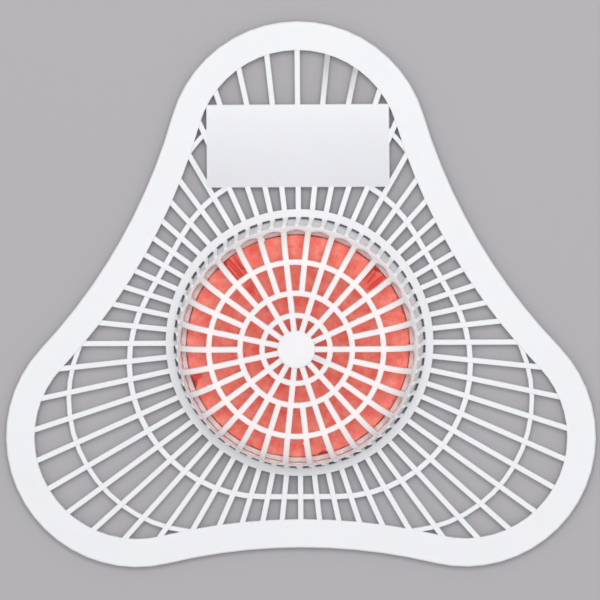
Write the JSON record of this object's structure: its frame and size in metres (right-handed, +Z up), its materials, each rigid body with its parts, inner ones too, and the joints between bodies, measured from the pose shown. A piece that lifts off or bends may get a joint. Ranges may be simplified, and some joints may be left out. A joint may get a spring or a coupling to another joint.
{
  "type": "urinal deodorizer screen",
  "caption": "Flexible three-lobed urinal screen with radial ribs, curved loops, a bare plate and a round ribbed cage that holds a pressed deodorizer block.",
  "frame": {"origin": "centre of the underside of the cage floor's hub, on the axis of the round cage", "axes": "+Z up out of the top of the cage, +Y along the lobe that carries the bare plate, +X across the other two lobes"},
  "size_m": [0.2, 0.185, 0.0292],
  "materials": {
    "screen": "satin, slightly translucent soft white moulded plastic",
    "deodorizer_block": "matt, coral pink, pressed and slightly crumbly",
    "cage_floor": "satin, soft white moulded plastic"
  },
  "bodies": {
    "root": {"screen": "screen", "deodorizer_block": "deodorizer_block", "cage_floor": "cage_floor"}
  },
  "joints": []
}
